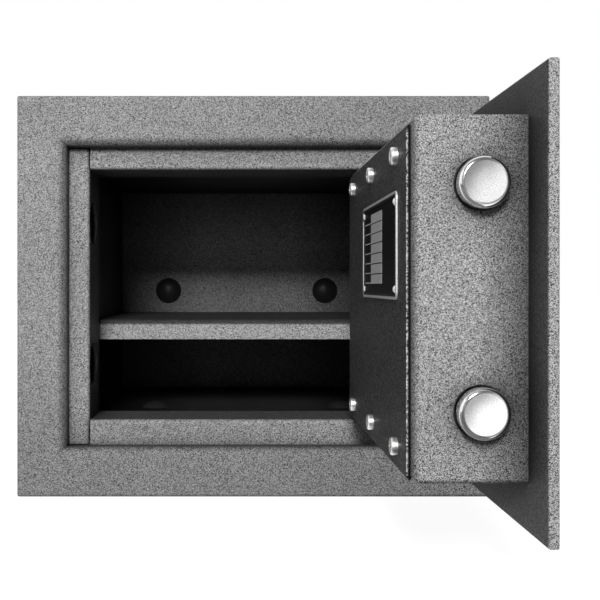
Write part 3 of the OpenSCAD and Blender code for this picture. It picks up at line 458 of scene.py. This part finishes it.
def printed_plate():
    """Bare metal rim, black enamel ground, and fields and rules raised between the two."""
    s = Surface("label_metal")
    axes = s.axes()
    low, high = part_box("data_plate")
    middle = [(a + b) / 2 for a, b in zip(low, high)]
    half = [(b - a) / 2 for a, b in zip(low, high)]
    within = s.product(*(
        s.math("LESS_THAN", s.distance(axes[axis], middle[axis]), half[axis] - rim)
        for axis, rim in LABEL_RIMS
    ))
    behind_rim = s.math("GREATER_THAN", axes[X], LABEL_RIM_X)
    raised = s.product(behind_rim, s.math("LESS_THAN", axes[X], LABEL_GROUND_X))
    inner = s.math("LESS_THAN", s.distance(axes[Y], middle[Y]), half[Y] - LABEL_RIM)
    painted = s.product(within, s.largest(behind_rim, inner))
    ground = s.product(painted, s.rest(raised))
    fine = s.noise(FINE)
    rim = s.scaled(grey(RIM_LEVEL), s.spread(fine, *RIM_TONES))
    field = s.scaled(grey(FIELD_LEVEL), s.spread(fine, *FIELD_TONES))
    enamel = s.scaled(grey(ENAMEL_LEVEL), s.spread(fine, *ENAMEL_TONES))
    s.give(Base_Color=s.mix(ground, s.mix(painted, rim, field), enamel))
    s.give(Metallic=s.span(painted, 0.0, 1.0, RIM_METALLIC, 0.0))
    s.give(Specular_IOR_Level=LABEL_SPECULAR, Roughness=s.spread(fine, *LABEL_ROUGH))
    s.give(Normal=s.bump(fine, METAL_DEPTH))
    return s.material


# Copies of the one grey coat: their levels differ as painted light and shade, shade is painted
# into the hollows, and most carry painted light and shade by place.
outer_coat = coat("grey_powder_coat", 0.33, hollow_shade=2.2)
casing_coat = coat("casing_coat", 0.325, hollow_shade=2.2, painted_light_and_shade_at=on_casing)
box_coat = coat("box_coat", 0.352, 0.98, hollow_shade=2.2, painted_light_and_shade_at=on_box, size=DOOR_GRAIN)
door_coat = coat("door_coat", 0.335, hollow_shade=2.2, painted_light_and_shade_at=on_plate, size=DOOR_GRAIN)
cover_coat = coat("cover_coat", 0.45, hollow_shade=1.0, painted_light_and_shade_at=on_cover, size=COVER_GRAIN)
liner_coat = coat("liner_coat", 0.33, 0.9, 0.45, hollow_shade=2.6, painted_light_and_shade_at=on_liner, reach=LINER_SHADE_REACH)
seat_coat = coat("seat_coat", 0.364, hollow_shade=1.0, painted_light_and_shade_at=stepped(SEAT_SHADE_STEPS))
shelf_coat = coat("shelf_coat", 0.38, hollow_shade=0.5, painted_light_and_shade_at=stepped(SHELF_SHADE_STEPS))
chrome = chromed()
zinc = metal("zinc_steel", grey(0.8, 0.01), 0.38)
steel = metal("plain_steel", grey(0.4), 0.34)
knob_metal = metal("knob_metal", grey(0.6), 0.24)
brass = metal("brass", (0.7, 0.52, 0.26), 0.28)
label_metal = printed_plate()
plastic = coat("black_plastic", 0.02, 0.1, 0.35, SMOOTH_DEPTH)
# Near black, for the bead of painted shade by the cover.
gap_shade_black = coat("gap_shade_black", 0.004, 0.3, 0.8, SMOOTH_DEPTH)
filling = coat("filling", 0.55, 0.3, 0.8, FILLING_DEPTH, warmth=0.02, size=FILLING_GRAIN)

# The record's material names, and the nodes that wear a coat of their own.
FINISH = {
    "grey_powder_coat": outer_coat,
    "cover_coat": cover_coat,
    "liner_coat": liner_coat,
    "bolt_chrome": chrome,
    "zinc_steel": zinc,
    "plain_steel": steel,
    "brass": brass,
    "black_plastic": plastic,
    "filling": filling,
    "label_metal": label_metal,
    "knob_metal": knob_metal,
}
OWN_COATS = {
    "left_stile": seat_coat,
    "right_stile": seat_coat,
    "top_rail": seat_coat,
    "bottom_rail": seat_coat,
    "shelf": shelf_coat,
    "door_plate": door_coat,
    "outer_casing": casing_coat,
    "boltwork_box": box_coat,
}
for node in nodes.values():
    for held in node.material_slots:
        held.material = FINISH[held.material.name.split(".")[0]]
for name, material in OWN_COATS.items():
    nodes[name].material_slots[0].material = material


# Pieces that only show.


def ring_points(low, high, radius):
    """Corners of a rounded rectangle in (y, z), in order."""
    points = []
    for i, (cy, cz) in enumerate(((1, 1), (0, 1), (0, 0), (1, 0))):
        y = high[0] - radius if cy else low[0] + radius
        z = high[1] - radius if cz else low[1] + radius
        for k in range(CORNER_STEPS + 1):
            turn = math.radians(90 * i + 90 * k / CORNER_STEPS)
            points.append((y + radius * math.cos(turn), z + radius * math.sin(turn)))
    return points


def bead(name, body, x, points, thickness, material):
    """A round closed bead along points (y, z) in the plane x."""
    curve = bpy.data.curves.new(name, "CURVE")
    curve.dimensions = "3D"
    curve.bevel_depth = thickness / 2
    curve.bevel_resolution = BEAD_STEPS
    line = curve.splines.new("POLY")
    line.points.add(len(points) - 1)
    for point, (y, z) in zip(line.points, points):
        point.co = (x, y, z, 1)
    line.use_cyclic_u = True
    obj = bpy.data.objects.new(name, curve)
    bpy.context.scene.collection.objects.link(obj)
    curve.materials.append(material)
    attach(obj, body)
    return obj


# A black bead in the corner between the cover and the box: painted shade that stands for the
# shadow in the gap there.
cover_low, cover_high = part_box("cover_plate")
gap_shade_ring = ring_points(
    (cover_low[Y] - GAP_SHADE_OUT, cover_low[Z] - GAP_SHADE_OUT),
    (cover_high[Y] + GAP_SHADE_OUT, cover_high[Z] + GAP_SHADE_OUT),
    GAP_SHADE_CORNER,
)
gap_shade_bead = bead("cover_gap_shade", "door", cover_high[X] + GAP_SHADE_FORWARD, gap_shade_ring, GAP_SHADE_THICK, gap_shade_black)


# Floor and world. Both are white where the camera or a mirrored ray sees them as background.


def mirrored(s, path):
    """1 for rays that come by way of metal or glass."""
    return s.largest(path["Is Glossy Ray"], path["Is Transmission Ray"])


def background_rays(s):
    """1 for the rays that see the floor as white background."""
    path = s.add("ShaderNodeLightPath").outputs
    axes = s.axes()
    aside = s.math("GREATER_THAN", axes[X], BACKDROP_X)
    behind = s.largest(s.math("GREATER_THAN", axes[Y], BACKDROP_Y), aside)
    return s.largest(path["Is Camera Ray"], s.product(mirrored(s, path), behind))


def white_ground():
    """White to the camera, with the object's shadow kept on it."""
    s = Surface("ground")
    s.give(Base_Color=grey(FLOOR_GREY), Roughness=FLOOR_ROUGH)
    away = s.add("ShaderNodeVectorMath", operation="LENGTH")
    s.link(s.point, away.inputs[0])
    glow = s.add("ShaderNodeEmission")
    s.link(s.span(away.outputs["Value"], *GLOW), glow.inputs["Strength"])
    both = s.add("ShaderNodeAddShader")
    plain = s.shader.outputs[0]
    s.link(plain, both.inputs[0])
    s.link(glow.outputs[0], both.inputs[1])
    s.switch(background_rays(s), plain, both.outputs[0], s.output.inputs["Surface"])
    return s.material


def staged(name, obj):
    obj.name = name
    return obj


def studio_world():
    """Dim all round for the coats, and white to the camera and to metal."""
    world = bpy.data.worlds.new("studio")
    world.use_nodes = True
    world.node_tree.nodes.clear()
    sky = Tree(world.node_tree, "Generated")
    room = sky.add("ShaderNodeBackground")
    sky.link(AMBIENT, room.inputs["Strength"])
    white = sky.add("ShaderNodeBackground")
    sky.link((1, 1, 1, 1), white.inputs["Color"])
    path = sky.add("ShaderNodeLightPath").outputs
    axes = sky.axes()
    sideways = sky.math("SUBTRACT", sky.math("ABSOLUTE", axes[X]), axes[Z])
    front = sky.span(sideways, *FRONT_WHITE)
    seen = sky.largest(sky.math("GREATER_THAN", axes[Y], 0.0), front)
    shown = sky.largest(path["Is Camera Ray"], sky.product(mirrored(sky, path), seen))
    output = sky.add("ShaderNodeOutputWorld").inputs["Surface"]
    sky.switch(shown, room.outputs[0], white.outputs[0], output)
    return world


bpy.ops.mesh.primitive_plane_add(size=FLOOR_SIZE, location=(0, 0, 0))
floor = staged("floor", bpy.context.object)
floor.data.materials.append(white_ground())
floor.visible_shadow = False  # it lies below everything, and paints no shade into the coats' hollows
bpy.context.scene.world = studio_world()


# Light.


def lamp(name, place, aim, size, power):
    light = bpy.data.lights.new(name, "AREA")
    light.shape = "RECTANGLE"
    light.size, light.size_y = size
    light.energy = power
    obj = bpy.data.objects.new(name, light)
    bpy.context.scene.collection.objects.link(obj)
    obj.location = place
    obj.rotation_euler = (Vector(aim) - Vector(place)).to_track_quat("-Z", "Y").to_euler()
    return obj


def linked(name, members, state):
    """A collection for light linking: only its members, or all but them."""
    group = bpy.data.collections.new(name)
    for member in members:
        group.objects.link(member)
    for held in group.collection_objects:
        held.light_linking.link_state = state
    return group


# A wide soft light above the camera. The casing has the same light for itself, and the open
# door throws no shadow on it there, as in the photograph.
casing = nodes["outer_casing"]
door_parts = [node for name, node in nodes.items() if name not in CABINET] + [gap_shade_bead]
key_light = lamp("key_light", **KEY_LIGHT)
key_light.light_linking.receiver_collection = linked("all_but_casing", [casing], "EXCLUDE")
casing_light = lamp("casing_light", **KEY_LIGHT)
casing_light.light_linking.receiver_collection = linked("only_casing", [casing], "INCLUDE")
casing_light.light_linking.blocker_collection = linked("all_but_door", door_parts, "EXCLUDE")


# Camera.

cam = bpy.data.cameras.new("camera")
cam.lens = LENS
cam.sensor_width = SENSOR
cam.sensor_fit = "HORIZONTAL"
cam.shift_x, cam.shift_y = SHIFT
cam.clip_start = CLIP_START
camera = bpy.data.objects.new("camera", cam)
bpy.context.scene.collection.objects.link(camera)
camera.location = CAMERA_PLACE
camera.rotation_euler = CAMERA_TURN
bpy.context.scene.camera = camera
bpy.context.scene.view_settings.view_transform = "Standard"
